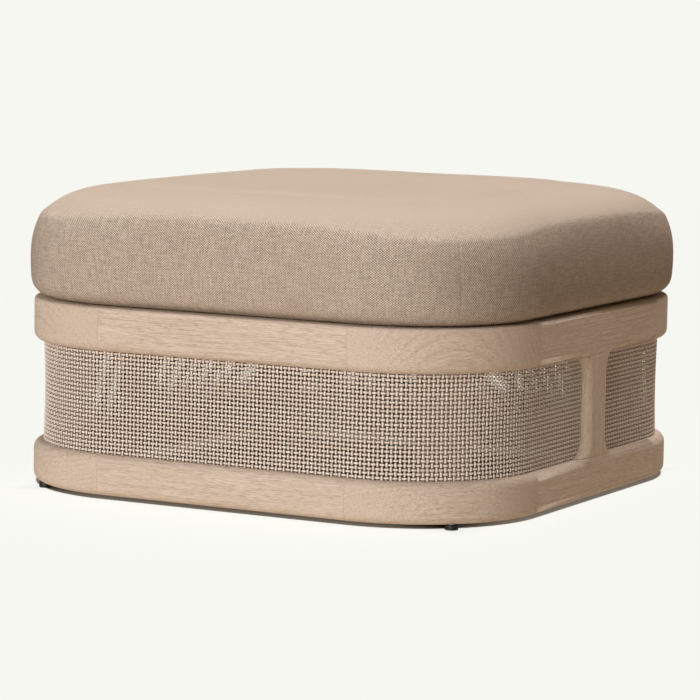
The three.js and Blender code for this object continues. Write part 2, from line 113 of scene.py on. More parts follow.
# Cushion, measured from its underside
OVERHANG = 0.006
BOTTOM_ROUND = 0.025
BELLY_HEIGHT = 0.042
SEAM_MIDDLE = 0.136
SEAM_CORNER = 0.121
SEAM_INSET = 0.0095
CROWN = 0.166
CROWN_REACH = 0.033
BELLY_POWER = 3
SIDE_REACH = STRAIGHT + RADIUS * math.pi / 4

# The cover's grid: lengths of the rows next to a seam, and shares of the way up the side
CUSHION_GRID = 68
SEAM_ROWS = (0.0018, 0.005)
RIM_ROWS = (0.006, 0.008)
FOOT_SHARES = [0, 0.08, 0.3, 0.53, 0.76, 1]
CLIMB_SHARES = [0.93 * n / 9 for n in range(1, 10)] + [0.96, 1]
CUSHION_ROWS = len(FOOT_SHARES) + len(CLIMB_SHARES) - 1

# The cover's cloth and seams
FILL_PRESSURE = 4
FILL_FRAMES = 20
CLOTH_EASE = -0.012
PUFF_CAP = 0.0022
EVENING_ROUNDS = 6
SEAM_DEPTH = 0.0012
RIM_SEAM = 0.3
WARP_PITCH = 0.0021
WEFT_PITCH = 0.0017

# The zip in the back band
ZIP_HALF_LENGTH = 0.19
ZIP_HEIGHT = SEAM_MIDDLE - 0.026
ZIP_SLOT_WIDTH = 0.010
ZIP_RECESS = 0.001
ZIP_FLOOR_DEPTH = 0.0026
TAPE_LENGTH = 2 * ZIP_HALF_LENGTH - 0.0006
TAPE_WIDTH = 0.0094
TAPE_THICKNESS = 0.0007
TAPE_RIB_PITCH = 0.0007
TAPE_KNOT_PITCH = 0.0009
TOOTH_PITCH = 0.0015
TOOTH_SIZE = (0.00095, 0.0019, 0.0007)
TOOTH_SWAY = 0.0006
COIL_MARGIN = 0.002
ZIP_EASE = 0.0002
ZIP_CALM_MARGIN = 0.012
ZIP_CUT_MARGIN = 0.015

# Stage, light and camera, whose angles are in degrees
BACKGROUND = (0.93, 0.93, 0.896, 1)
FLOOR_SIZE = 120
FLOOR_DARK_INSET = 0.09
FLOOR_GLOW_INSET = 0.02
FLOOR_SHOWN = (0.298, 0.309, 0.305, 1)
FLOOR_SHADOW = (0.15, 0.13, 0.105, 1)
FLOOR_BOUNCE = (0.18, 0.143, 0.108, 1)
WORLD_TINT = (1.0, 0.8, 0.61, 1)
WORLD_LIGHT = 0.13
FLOOR_LIGHT = 5.3
OVERHEAD = 0.92
OVERHEAD_TINT = (1.0, 0.95, 0.915)
KEY = 0.73
CAMERA_PLACE = Vector((2.4277, -4.5204, 0.7993))
CAMERA_AZIMUTH = 28.33
CAMERA_PITCH = 6.709
CAMERA_ROLL = 0.90527
CAMERA_LENS = 175.1

SIDES = ["right", "back", "left", "front"]
CORNERS = ["back_right", "back_left", "front_left", "front_right"]


# Shader maths


class Socket:
    """One output of a shader node, so that shader maths reads as an expression."""

    def __init__(self, paint, out):
        self.paint = paint
        self.out = out

    def maths(self, operation, *values):
        sockets = dict(enumerate(values))
        return self.paint.node("ShaderNodeMath", {"operation": operation}, sockets)

    def __add__(self, other):
        return self.maths("ADD", self, other)

    def __sub__(self, other):
        return self.maths("SUBTRACT", self, other)

    def __rsub__(self, other):
        return self.maths("SUBTRACT", other, self)

    def __mul__(self, other):
        return self.maths("MULTIPLY", self, other)

    def __truediv__(self, other):
        return self.maths("DIVIDE", self, other)

    __radd__ = __add__
    __rmul__ = __mul__

    def __abs__(self):
        return self.maths("ABSOLUTE", self)

    def sine(self):
        return self.maths("SINE", self)

    def moved(self, other, reach):
        """This vector, shifted by a noise that is centred on a half."""
        sockets = {0: other, 1: (reach, reach, reach), 2: self}
        return self.paint.node("ShaderNodeVectorMath", {"operation": "MULTIPLY_ADD"}, sockets)

    def above(self, low, high):
        """0 below low, 1 above high, smooth between them."""
        settings = {"interpolation_type": "SMOOTHSTEP"}
        sockets = {"Value": self, "From Min": low, "From Max": high}
        return self.paint.node("ShaderNodeMapRange", settings, sockets)


class Paint:
    """The nodes of a material, or of the world, under construction."""

    def __init__(self, owner):
        self.owner = owner
        owner.use_nodes = True
        self.tree = owner.node_tree
        self.tree.nodes.clear()

    def node(self, kind, settings, sockets, output=0):
        """One node, its settings made first; gives the socket of one of its outputs."""
        made = self.tree.nodes.new(kind)
        for key, value in settings.items():
            setattr(made, key, value)
        for key, value in sockets.items():
            if isinstance(value, Socket):
                self.tree.links.new(value.out, made.inputs[key])
            else:
                made.inputs[key].default_value = value
        return Socket(self, made.outputs[output]) if made.outputs else None

    def mix(self, factor, first, second):
        sockets = {0: factor, 6: first, 7: second}
        return self.node("ShaderNodeMix", {"data_type": "RGBA"}, sockets, 2)

    def noise(self, place, scale, detail=2, roughness=0.5):
        sockets = {"Vector": place, "Scale": scale, "Detail": detail, "Roughness": roughness}
        return self.node("ShaderNodeTexNoise", {}, sockets)

    def stretched(self, place, scale):
        return self.node("ShaderNodeVectorMath", {"operation": "MULTIPLY"}, {0: place, 1: scale})

    def attribute(self, name):
        return self.node("ShaderNodeAttribute", {"attribute_name": name}, {}, "Vector")

    def parts(self, vector):
        split = self.node("ShaderNodeSeparateXYZ", {}, {0: vector})
        return [Socket(self, out) for out in split.out.node.outputs]

    def joined(self, x, y, z):
        return self.node("ShaderNodeCombineXYZ", {}, {0: x, 1: y, 2: z})

    def bump(self, height, distance):
        return self.node("ShaderNodeBump", {}, {"Height": height, "Distance": distance})

    def surface(self, **sockets):
        named = {key.replace("_", " "): value for key, value in sockets.items()}
        shader = self.node("ShaderNodeBsdfPrincipled", {}, named)
        self.node("ShaderNodeOutputMaterial", {}, {"Surface": shader})
        return self.owner


def material_paint(name):
    return Paint(bpy.data.materials.new(name))


def colour(red, green, blue):
    """A colour written as it shows on screen, from 0 to 255, as linear light."""

    def linear(level):
        share = level / 255
        return share / 12.92 if share <= 0.04045 else ((share + 0.055) / 1.055) ** 2.4

    return (linear(red), linear(green), linear(blue), 1.0)


# Finishes


def timber_finish(name, pale, deep, streak_depth):
    """Brushed timber. The grain attribute runs along the board in X, across it in Y and Z."""
    paint = material_paint(name)
    grain = paint.attribute("grain")
    bent = grain.moved(paint.noise(grain, 40, 2), 0.0016)
    sway = paint.noise(paint.stretched(grain, (2.5, 9, 9)), 1, 2)
    _, across, through = paint.parts(bent)
    ring_turn = across * 380 + through * 820 + sway * 16
    rings = ring_turn.sine().above(0.1, 1.0)
    ring_depth = paint.noise(paint.stretched(grain, (5, 30, 30)), 1, 2).above(0.4, 0.65)
    drift = paint.noise(paint.stretched(grain, (3, 14, 14)), 1, 2)
    streaks = paint.noise(paint.stretched(bent, (10, 700, 700)), 1, 5, 0.7)
    dashes = paint.noise(paint.stretched(bent, (70, 1100, 1100)), 1, 3, 0.7)
    fibres = paint.noise(paint.stretched(grain, (45, 1500, 1500)), 1, 2)
    tone = rings * ring_depth * 0.34 + streaks.above(0.38, 0.62) * 0.6
    body = paint.mix(tone, pale, deep)
    body = paint.mix(drift.above(0.4, 0.65) * 0.3, body, colour(216, 194, 174))
    body = paint.mix(dashes.above(0.54, 0.66) * 0.5, body, colour(150, 122, 100))
    body = paint.mix(dashes.above(0.48, 0.36) * 0.35, body, colour(246, 232, 216))
    relief = streaks * 0.5 + fibres * 0.3 - dashes.above(0.5, 0.7) * 0.5
    return paint.surface(
        Base_Color=body,
        Roughness=0.58 + tone * 0.12,
        Normal=paint.bump(relief, streak_depth),
    )


def cane_finish():
    """Split cane with painted shade: pale where it rides over a crossing, dark where it dips
    under.
    """
    paint = material_paint("Woven cane")
    along, across, shade = paint.parts(paint.attribute("strand"))
    over, outside, _ = paint.parts(paint.attribute("painted_shade"))
    fibre_place = paint.joined(along * 60, across * 4200, shade * 37)
    fibres = paint.noise(fibre_place, 1, 2)
    patches = paint.noise(paint.joined(along * 22, across * 40, shade * 11), 1, 2)
    # Painted highlight and shade: pale on the crowns that ride over a crossing, dark where a
    # strand dips under.
    body = paint.mix(over.above(0.2, 0.8), colour(112, 90, 72), colour(255, 243, 232))
    body = paint.mix(shade * 0.3, body, colour(204, 182, 160))
    body = paint.mix(patches.above(0.5, 0.75) * 0.3, body, colour(186, 160, 134))
    body = paint.mix(fibres.above(0.55, 0.8) * 0.25, body, colour(150, 124, 98))
    # Painted shade: the strands' inner sides, facing into the frame, go near black.
    body = paint.mix(outside.above(-1.2, -0.3), colour(40, 30, 24), body)
    return paint.surface(
        Base_Color=body,
        Roughness=0.42 + fibres * 0.2,
        Normal=paint.bump(fibres, 0.00012),
    )


def fabric_finish():
    """Plain-weave cloth with slubs. Its UV map counts metres across the ribs and along them.

    The panel attribute says how far the cloth faces up, where its weave lies smoother, and
    sideways, where shade is painted in. The seam attribute paints shade into the sewn-in
    corners.
    """
    paint = material_paint("Heathered cover fabric")
    cloth = paint.node("ShaderNodeUVMap", {"uv_map": "cloth"}, {})
    across, along, _ = paint.parts(cloth)
    seam, _, _ = paint.parts(paint.attribute("seam"))
    top, flank, _ = paint.parts(paint.attribute("panel"))
    flat = paint.joined(across, along, 0)
    warps = paint.noise(paint.stretched(flat, (430, 40, 1)), 1, 2, 0.6)
    wefts = paint.noise(paint.stretched(flat, (40, 430, 1)), 1, 2, 0.6)
    flecks = paint.noise(flat, 420, 2, 0.6)
    clouds = paint.noise(flat, 7, 3)
    weave = (across * (math.pi / WARP_PITCH)).sine() * (along * (math.pi / WEFT_PITCH)).sine()
    heather = warps.above(0.36, 0.64) * 0.16 + wefts.above(0.36, 0.64) * 0.14
    heather = heather + flecks.above(0.36, 0.64) * 0.2 + weave * 0.5 + 0.25
    calm = 1 - top * 0.85
    body = paint.mix((heather - 0.5) * calm + 0.5, colour(104, 89, 76), colour(244, 226, 208))
    body = paint.mix(clouds.above(0.42, 0.7) * 0.1, body, colour(184, 160, 140))
    # Painted shade: the cloth facing sideways along X is darker.
    body = paint.mix(flank * 0.36, body, colour(122, 100, 82))
    # Painted shade in the grooves of the sewn-in corner seams.
    body = paint.mix(seam.above(0.55, 1.0) * 0.35, body, colour(92, 78, 64))
    relief = (abs(weave) + warps * 0.4 + flecks * 0.4) * calm
    return paint.surface(
        Base_Color=body,
        Roughness=0.92,
        Normal=paint.bump(relief, 0.0003),
    )


def plain_finish(name, base, second, roughness, grain_scale, relief=0.0001, metallic=0.0):
    """A moulded, painted or metal surface with a slight mottle and fine tooth."""
    paint = material_paint(name)
    place = paint.node("ShaderNodeTexCoord", {}, {}, "Object")
    mottle = paint.noise(place, grain_scale, 3)
    tooth = paint.noise(place, grain_scale * 9, 2)
    return paint.surface(
        Base_Color=paint.mix(mottle.above(0.35, 0.7), base, second),
        Roughness=roughness - 0.08 + mottle * 0.16,
        Metallic=metallic,
        Normal=paint.bump(tooth, relief),
    )


def tape_finish():
    """Woven zip tape: a fine rib along its length."""
    paint = material_paint("Zip tape")
    place = paint.node("ShaderNodeTexCoord", {}, {}, "Object")
    x, _, z = paint.parts(place)
    ribs = (z * (2 * math.pi / TAPE_RIB_PITCH)).sine()
    knots = (x * (2 * math.pi / TAPE_KNOT_PITCH)).sine()
    weave = ribs * knots * 0.5 + 0.5
    return paint.surface(
        Base_Color=paint.mix(weave, colour(138, 116, 90), colour(166, 144, 116)),
        Roughness=0.85,
        Normal=paint.bump(weave, 0.00012),
    )


TIMBER = timber_finish("Brushed timber", colour(230, 212, 195), colour(198, 174, 152), 0.0003)
DECK_TIMBER = timber_finish("Sawn timber", colour(196, 170, 138), colour(164, 134, 102), 0.0002)
CANE = cane_finish()
FABRIC = fabric_finish()
TAPE = tape_finish()
PLASTIC = plain_finish("Black moulded plastic", colour(16, 15, 14), colour(26, 25, 24), 0.5, 260)
STEEL = plain_finish(
    "Zinc plated steel", colour(186, 184, 180), colour(150, 148, 142), 0.36, 420, 0.00004, 1.0
)
ZIP_METAL = plain_finish(
    "Satin zip metal", colour(172, 164, 150), colour(128, 120, 108), 0.34, 700, 0.00003, 1.0
)
NYLON = plain_finish("Nylon coil", colour(150, 128, 102), colour(172, 150, 124), 0.45, 900)


# Pieces


def made_mesh(name, bm):
    """The mesh of a bmesh, which is used up."""
    mesh = bpy.data.meshes.new(name)
    bm.to_mesh(mesh)
    bm.free()
    return mesh


def shown(name, data):
    """A new object in the scene, at the origin."""
    made = bpy.data.objects.new(name, data)
    bpy.context.scene.collection.objects.link(made)
    return made


def piece_of(name, mesh, material, body, nodes=()):
    """A finished mesh as a piece that rides on a body and stands for CAD nodes."""
    mesh.name = name
    mesh.shade_smooth()
    mesh.materials.append(material)
    made = shown(name, mesh)
    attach(made, body)
    if nodes:
        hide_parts(*nodes)
    return made


def new_piece(name, bm, material, body, nodes=(), even_shading=False):
    """The same from a bmesh; even shading keeps large flat faces flat next to their rounds."""
    made = piece_of(name, made_mesh(name, bm), material, body, nodes)
    if even_shading:
        made.modifiers.new("Even shading", "WEIGHTED_NORMAL")
    return made


def set_vectors(mesh, name, vectors):
    attribute = mesh.attributes.new(name, "FLOAT_VECTOR", "POINT")
    attribute.data.foreach_set("vector", np.asarray(vectors, np.float32).ravel())


def set_numbers(mesh, name, numbers):
    attribute = mesh.attributes.new(name, "FLOAT", "POINT")
    attribute.data.foreach_set("value", np.asarray(numbers, np.float32))


def mesh_points(mesh):
    flat = np.empty(len(mesh.vertices) * 3)
    mesh.vertices.foreach_get("co", flat)
    return flat.reshape(-1, 3)


def mesh_normals(mesh):
    flat = np.empty(len(mesh.vertices) * 3)
    mesh.vertices.foreach_get("normal", flat)
    return flat.reshape(-1, 3)


def turned_about_z(bm, quarter):
    turn = Matrix.Rotation(quarter * math.pi / 2, 3, "Z")
    bmesh.ops.rotate(bm, verts=bm.verts, cent=(0, 0, 0), matrix=turn)


def drawn_out(bm, way):
    """Extrudes the one face of a new bmesh into a closed bar."""
    made = bmesh.ops.extrude_face_region(bm, geom=bm.faces[:])
    ends = [g for g in made["geom"] if isinstance(g, bmesh.types.BMVert)]
    bmesh.ops.translate(bm, verts=ends, vec=way)


def repeated(bm, places):
    """Puts a copy of the whole bmesh at each place, and takes the first one out."""
    first = bm.verts[:] + bm.edges[:] + bm.faces[:]
    first_verts = bm.verts[:]
    for place in places:
        copied = bmesh.ops.duplicate(bm, geom=first)["geom"]
        verts = [g for g in copied if isinstance(g, bmesh.types.BMVert)]
        bmesh.ops.translate(bm, verts=verts, vec=place)
    bmesh.ops.delete(bm, geom=first_verts, context="VERTS")


def cube_of(size):
    bm = bmesh.new()
    bmesh.ops.create_cube(bm, size=1)
    bmesh.ops.scale(bm, verts=bm.verts, vec=size)
    return bm


def ease(bm, edges, offset, segments):
    bmesh.ops.bevel(
        bm, geom=edges, offset=offset, segments=segments, profile=0.5, material=-1,
        affect="EDGES", clamp_overlap=False,
    )


def near(value, place):
    return abs(value - place) < 1e-6


def edges_where(bm, test):
    """The edges whose two ends both pass a test of their place."""
    return [e for e in bm.edges if all(test(v.co) for v in e.verts)]


# Timber


def rail_section(low, high, low_round, high_round, y):
    """A rail's section at +X as one face, its outer edges rounded."""
    bm = bmesh.new()
    inside = HALF - RAIL_THICKNESS
    corners = [(inside, low), (HALF, low), (HALF, high), (inside, high)]
    verts = [bm.verts.new((x, y, z)) for x, z in corners]
    bm.faces.new(verts)
    rounds = [(verts[1], low_round), (verts[2], high_round)]
    rounds += [(verts[0], INNER_EDGE_ROUND), (verts[3], INNER_EDGE_ROUND)]
    for vert, offset in rounds:
        bmesh.ops.bevel(
            bm, geom=[vert], offset=offset, segments=ROUND_SEGMENTS, profile=0.5,
            material=-1, affect="VERTICES",
        )
    return bm


def eased_ends(bm, is_end):
    """A hair's breadth off the arrises at a board's two ends, so that glue lines show."""
    bmesh.ops.recalc_face_normals(bm, faces=bm.faces)
    edges = [
        e for e in bm.edges
        if len(e.link_faces) == 2 and e.calc_face_angle(0) > 1
        and all(is_end(v.co) for v in e.verts)
    ]
    ease(bm, edges, GLUE_LINE_EASE, 2)


def straight_board(rail_rounds):
    end = STRAIGHT - GLUE_LINE_GAP
    bm = rail_section(*rail_rounds, -end)
    drawn_out(bm, (0, 2 * end, 0))
    eased_ends(bm, lambda co: near(abs(co.y), end))
    return bm


def corner_board(rail_rounds):
    bm = rail_section(*rail_rounds, STRAIGHT)
    centre = (STRAIGHT, STRAIGHT, 0)
    bmesh.ops.spin(
        bm, geom=bm.verts[:] + bm.edges[:] + bm.faces[:], cent=centre, axis=(0, 0, 1),
        angle=math.pi / 2, steps=CORNER_STEPS, use_merge=False,
    )
    eased_ends(bm, lambda co: near(co.x, STRAIGHT) or near(co.y, STRAIGHT))
    return bm


def flank_boards():
    """The flank at +X in one piece: both rails and the post, the windows' edges rounded."""
    bm = bmesh.new()
    end = STRAIGHT - GLUE_LINE_GAP
    base, sill = BOTTOM_RAIL
    head, top = TOP_RAIL
    right = [(-end, base), (end, base), (end, sill), (POST_HALF, sill)]
    left = [(POST_HALF, head), (end, head), (end, top), (-end, top)]
    back = [(-end, head), (-POST_HALF, head), (-POST_HALF, sill), (-end, sill)]
    verts = [bm.verts.new((HALF, y, z)) for y, z in right + left + back]
    bm.faces.new(verts)
    window_corners = [v for v in verts if near(abs(v.co.y), POST_HALF)]
    bmesh.ops.bevel(
        bm, geom=window_corners, offset=POST_FILLET, segments=FILLET_SEGMENTS,
        profile=0.5, material=-1, affect="VERTICES",
    )
    drawn_out(bm, (-RAIL_THICKNESS, 0, 0))
    front = edges_where(bm, lambda co: near(co.x, HALF))
    along_top = edges_where(bm, lambda co: near(co.x, HALF) and near(co.z, top))
    ends = [
        e for e in front
        if near(e.verts[0].co.y, e.verts[1].co.y) and near(abs(e.verts[0].co.y), end)
    ]
    ease(bm, [e for e in front if e not in along_top + ends], OPENING_ROUND, ROUND_SEGMENTS)
    # The bevel has replaced some edges, so the ones along the top are looked up again.
    along_top = edges_where(bm, lambda co: near(co.x, HALF) and near(co.z, top))
    ease(bm, along_top, SEAT_EDGE_ROUND, ROUND_SEGMENTS)
    inner_rims = [
        e for e in edges_where(bm, lambda co: near(co.x, HALF - RAIL_THICKNESS))
        if near(e.verts[0].co.z, e.verts[1].co.z)
        and (near(e.verts[0].co.z, base) or near(e.verts[0].co.z, top))
    ]
    ease(bm, inner_rims, INNER_EDGE_ROUND, ROUND_SEGMENTS)
    bmesh.ops.recalc_face_normals(bm, faces=bm.faces)
    return bm


def sliced(bm, low, high):
    """The part of a closed mesh between two heights, closed again."""
    kept = bm.copy()
    for height, way in ((low, -1), (high, 1)):
        cut = bmesh.ops.bisect_plane(
            kept, geom=kept.verts[:] + kept.edges[:] + kept.faces[:], dist=1e-7,
            plane_co=(0, 0, height), plane_no=(0, 0, way), clear_outer=True,
        )
        rim = [g for g in cut["geom_cut"] if isinstance(g, bmesh.types.BMEdge)]
        bmesh.ops.holes_fill(kept, edges=rim)
    return kept


def board_piece(node, bm, quarter, along, seed):
    """A board with its own stretch of grain, which runs in the direction along."""
    turned_about_z(bm, quarter)
    bmesh.ops.recalc_face_normals(bm, faces=bm.faces)
    made = new_piece(
        node + "_board", bm, TIMBER, "frame", [node], even_shading=True
    )
    draws = random.Random(seed)
    axis = Matrix.Rotation(quarter * math.pi / 2, 3, "Z") @ Vector(along)
    side = Vector((0, 0, 1)).cross(axis)
    if side.length < 0.1:
        side = Vector((1, 0, 0))
    side.normalize()
    up = axis.cross(side)
    tilt = Matrix.Rotation(draws.uniform(-0.9, 0.9), 3, axis)
    slope = Matrix.Rotation(draws.uniform(-0.035, 0.035), 3, up)
    rows = np.array([slope @ axis, tilt @ side, tilt @ up])
    start = np.array([draws.uniform(0, 40) for _ in range(3)])
    set_vectors(made.data, "grain", mesh_points(made.data) @ rows.T + start)


def add_timber():
    bottom = (*BOTTOM_RAIL, OPENING_ROUND, OPENING_ROUND)
    top = (*TOP_RAIL, OPENING_ROUND, SEAT_EDGE_ROUND)
    chord = Vector((-1, 1, 0)).normalized()
    for quarter, corner in enumerate(CORNERS):
        for row, (level, rounds) in enumerate((("bottom", bottom), ("top", top))):
            seed = 10 * quarter + row
            board_piece(f"{level}_rail_{corner}", corner_board(rounds), quarter, chord, seed)
    for quarter, side in enumerate(SIDES):
        seed = 50 + 10 * quarter
        if side in ("front", "back"):
            board_piece(f"bottom_rail_{side}", straight_board(bottom), quarter, (0, 1, 0), seed)
            board_piece(f"top_rail_{side}", straight_board(top), quarter, (0, 1, 0), seed + 1)
        else:
            flank = flank_boards()
            below = sliced(flank, BOTTOM_RAIL[0] - 1, BOTTOM_RAIL[1])
            middle = sliced(flank, BOTTOM_RAIL[1] + GLUE_LINE_GAP, TOP_RAIL[0] - GLUE_LINE_GAP)
            above = sliced(flank, TOP_RAIL[0], TOP_RAIL[1] + 1)
            flank.free()
            board_piece(f"bottom_rail_{side}", below, quarter, (0, 1, 0), seed)
            board_piece(f"side_post_{side}", middle, quarter, (0, 0, 1), seed + 1)
            board_piece(f"top_rail_{side}", above, quarter, (0, 1, 0), seed + 2)


# Cane


def round_corner(turn, start, centre, offset):
    """A place some share of a quarter turn round a corner, and how near its middle that is."""
    angle = start + turn * math.pi / 2
    out = Vector((math.cos(angle), math.sin(angle)))
    return Vector(centre) + out * (RADIUS + offset), math.sin(turn * math.pi)


def cane_path(s, offset):
    """The plan place at a length s along a panel, from its left post round to its right."""
    flank = STRAIGHT - POST_HALF
    arc = (RADIUS - CANE_CENTRE) * math.pi / 2
    if s < flank:
        return Vector((-HALF - offset, -POST_HALF - s)), 0.0
    s -= flank
    if s < arc:
        return round_corner(s / arc, math.pi, (-STRAIGHT, -STRAIGHT), offset)
    s -= arc
    if s < 2 * STRAIGHT:
        return Vector((-STRAIGHT + s, -HALF - offset)), 0.0
    s -= 2 * STRAIGHT
    if s < arc:
        return round_corner(s / arc, 1.5 * math.pi, (STRAIGHT, -STRAIGHT), offset)
    s -= arc
    return Vector((HALF + offset, -STRAIGHT + s)), 0.0


def strand_set(length, steps, count, spacing, seed):
    """Half-round strands along +X, side by side along +Z, with depth along +Y."""
    bm = bmesh.new()
    half_width, half_thick = CANE_WIDTH / 2, CANE_THICKNESS / 2
    section = [(0, deep * half_thick, wide * half_width) for wide, deep in CANE_ROUND_SHARES]
    bm.faces.new([bm.verts.new(point) for point in section])
    drawn_out(bm, (length, 0, 0))
    long_edges = [e for e in bm.edges if e.calc_length() > length / 2]
    bmesh.ops.subdivide_edges(bm, edges=long_edges, cuts=steps - 1)
    draws = random.Random(seed)
    jitters = [draws.uniform(-CANE_JITTER, CANE_JITTER) for _ in range(count)]
    repeated(bm, [(0, 0, (n + 0.5) * spacing + jitter) for n, jitter in enumerate(jitters)])
    return bm


def woven(bm, name, is_upright, seed):
    """Waves flat strands over and under, lays them round the panel and shades each one."""
    draws = random.Random(seed)
    shades = [draws.random() for _ in range(UPRIGHTS + 1)]
    column, row = CANE_LENGTH / UPRIGHTS, CANE_HEIGHT / ROWS
    spacing, crossing = (column, row) if is_upright else (row, column)
    strands = []
    painted_shades = []
    for vert in bm.verts:
        along, depth, across = vert.co
        if is_upright:
            along -= CANE_GROOVE
        number = int(across / spacing)
        local = across - (number + 0.5) * spacing
        strands.append((along + number * 0.37, local, shades[number]))
        swing = math.cos(math.pi * (along / crossing - 0.5)) * (-1) ** number
        swing = swing if is_upright else -swing
        # How far a point rides over or dips under, and how far it faces out, where the cane
        # finish paints shade.
        painted_shades.append((swing * 0.5 + 0.5, depth * 2 / CANE_THICKNESS, 0))
        depth += CANE_WAVE * swing
        s, height = (across, along) if is_upright else (along, across)
        rise = 2 * height / CANE_HEIGHT - 1
        s = min(max(s, 0), CANE_LENGTH)
        bow = CANE_BOW * cane_path(s, 0)[1] * (1 - min(rise * rise, 1))
        place, _ = cane_path(s, depth - CANE_CENTRE - bow)
        vert.co = (place.x, place.y, CANE_LOW + height)
    bmesh.ops.recalc_face_normals(bm, faces=bm.faces)
    mesh = made_mesh(name, bm)
    set_vectors(mesh, "strand", strands)
    set_vectors(mesh, "painted_shade", painted_shades)
    return mesh


def add_cane():
    tall = CANE_HEIGHT + 2 * CANE_GROOVE
    uprights = strand_set(tall, ROWS * CANE_STEPS, UPRIGHTS, CANE_LENGTH / UPRIGHTS, 1)
    rows = strand_set(CANE_LENGTH, UPRIGHTS * CANE_STEPS, ROWS, CANE_HEIGHT / ROWS, 2)
    meshes = {
        "uprights": woven(uprights, "cane_uprights", True, 3),
        "rows": woven(rows, "cane_rows", False, 4),
    }
    half_turn = Matrix.Rotation(math.pi, 4, "Z")
    for side in ("front", "back"):
        for kind, mesh in meshes.items():
            own = mesh.copy()
            if side == "back":
                own.transform(half_turn)
            piece_of(f"cane_{kind}_{side}", own, CANE, "frame", [f"cane_panel_{side}"])
    for mesh in meshes.values():
        bpy.data.meshes.remove(mesh)


# Hidden timber, made from the CAD shapes with their arrises taken off


def eased_copy(node, offset, segments, sharp=0.6):
    bm = bmesh.new()
    bm.from_mesh(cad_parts[node].data)
    bmesh.ops.remove_doubles(bm, verts=bm.verts, dist=1e-6)
    bmesh.ops.dissolve_limit(bm, angle_limit=0.01, verts=bm.verts, edges=bm.edges)
    edges = [e for e in bm.edges if len(e.link_faces) == 2 and e.calc_face_angle(0) > sharp]
    ease(bm, edges, offset, segments)
    bmesh.ops.recalc_face_normals(bm, faces=bm.faces)
    return bm


def add_hidden_timber():
    nodes = [f"deck_slat_{n}" for n in range(1, 8)]
    nodes += ["deck_cleat_front", "deck_cleat_back", "deck_bearer"]
    nodes += [f"corner_post_{corner}" for corner in CORNERS]
    for seed, node in enumerate(nodes):
        bm = eased_copy(node, HIDDEN_ROUND, 3)
        made = new_piece(
            node + "_board", bm, DECK_TIMBER, "frame", [node], even_shading=True
        )
        points = mesh_points(made.data)
        size = points.max(0) - points.min(0)
        order = np.argsort(-size)
        start = np.array([7.3 * seed, 3.1 * seed, 1.7 * seed])
        set_vectors(made.data, "grain", points[:, order] + start)


def screw_places():
    """Where each slat crosses what carries it, well inside the rounded corners."""
    carriers = ["deck_cleat_front", "deck_cleat_back", "deck_bearer"]
    carriers += [f"corner_post_{corner}" for corner in CORNERS]
    reach = RADIUS - RAIL_THICKNESS - 3 * SCREW_RADIUS
    places = []
    for n in range(1, 8):
        low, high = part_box(f"deck_slat_{n}")
        for carrier in carriers:
            carrier_low, carrier_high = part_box(carrier)
            y = (carrier_low.y + carrier_high.y) / 2
            for share in (0.25, 0.75):
                x = low.x + (high.x - low.x) * share
                past = math.hypot(max(abs(x) - STRAIGHT, 0), max(abs(y) - STRAIGHT, 0))
                if carrier_low.x < x < carrier_high.x and past < reach:
                    places.append((x, y, high.z))
    return places


def add_slat_screws():
    """Countersunk screws with hexagon sockets."""
    bm = bmesh.new()
    bmesh.ops.create_circle(bm, cap_ends=True, radius=SCREW_RADIUS, segments=12)
    face = bm.faces[:][0]
    bmesh.ops.inset_region(bm, faces=[face], thickness=SCREW_RADIUS * 0.15, depth=SCREW_RISE)
    bmesh.ops.inset_region(bm, faces=[face], thickness=SCREW_RADIUS * 0.42, depth=0)
    for number, vert in enumerate(face.verts):
        if number % 2:
            vert.co.x *= math.cos(math.pi / 6)
            vert.co.y *= math.cos(math.pi / 6)
    bmesh.ops.inset_region(
        bm, faces=[face], thickness=SCREW_RADIUS * 0.03, depth=-SCREW_SOCKET_DEPTH
    )
    repeated(bm, screw_places())
    new_piece("slat_screws", bm, STEEL, "frame")


# Levelling glides


def glide_profile(pad, stem, pad_top, top):
    """Radius and height from the middle of the pad's foot to the tip of the threaded stem."""
    turns = [n * math.pi / 10 for n in range(6)]
    foot = [(pad - PAD_ROUND * (1 - math.sin(a)), PAD_ROUND * (1 - math.cos(a))) for a in turns]
    rim = [(pad, pad_top - PAD_CHAMFER), (pad - PAD_CHAMFER, pad_top), (stem, pad_top)]
    root = stem - THREAD_DEPTH
    threads = []
    height = pad_top + THREAD_START
    while height < top - THREAD_END:
        threads += [(stem, height), (root, height + THREAD_HALF)]
        height += THREAD_PITCH
    return [(0, 0)] + foot + rim + threads + [(root, top), (0, top)]


def add_glides():
    for corner in CORNERS:
        node = f"glide_{corner}"
        low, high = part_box(node)
        pad_top = BOTTOM_RAIL[0] - GLIDE_CLEARANCE
        profile = glide_profile((high.x - low.x) / 2, GLIDE_STEM, pad_top, high.z)
        bm = bmesh.new()
        verts = [bm.verts.new((radius, 0, height)) for radius, height in profile]
        edges = [bm.edges.new(pair) for pair in zip(verts, verts[1:])]
        bmesh.ops.spin(
            bm, geom=verts + edges, cent=(0, 0, 0), axis=(0, 0, 1), angle=2 * math.pi,
            steps=48, use_merge=True,
        )
        bmesh.ops.remove_doubles(bm, verts=bm.verts, dist=1e-6)
        middle = (low + high) / 2
        bmesh.ops.translate(bm, verts=bm.verts, vec=(middle.x, middle.y, 0))
        bmesh.ops.recalc_face_normals(bm, faces=bm.faces)
        new_piece(node + "_foot", bm, PLASTIC, node, [node], even_shading=True)
        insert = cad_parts[f"glide_insert_{corner}"]
        insert.data.materials.clear()
        insert.data.materials.append(STEEL)


# Cushion: one closed cover, its panels joined by seams at the corners, the top and the foot


def side_offset(height, seam):
    """How far the side stands out of the rails at a height above the cushion's foot."""
    share = max(height - BELLY_HEIGHT, 0) / (seam - BELLY_HEIGHT)
    return OVERHANG - (OVERHANG + SEAM_INSET) * share ** BELLY_POWER


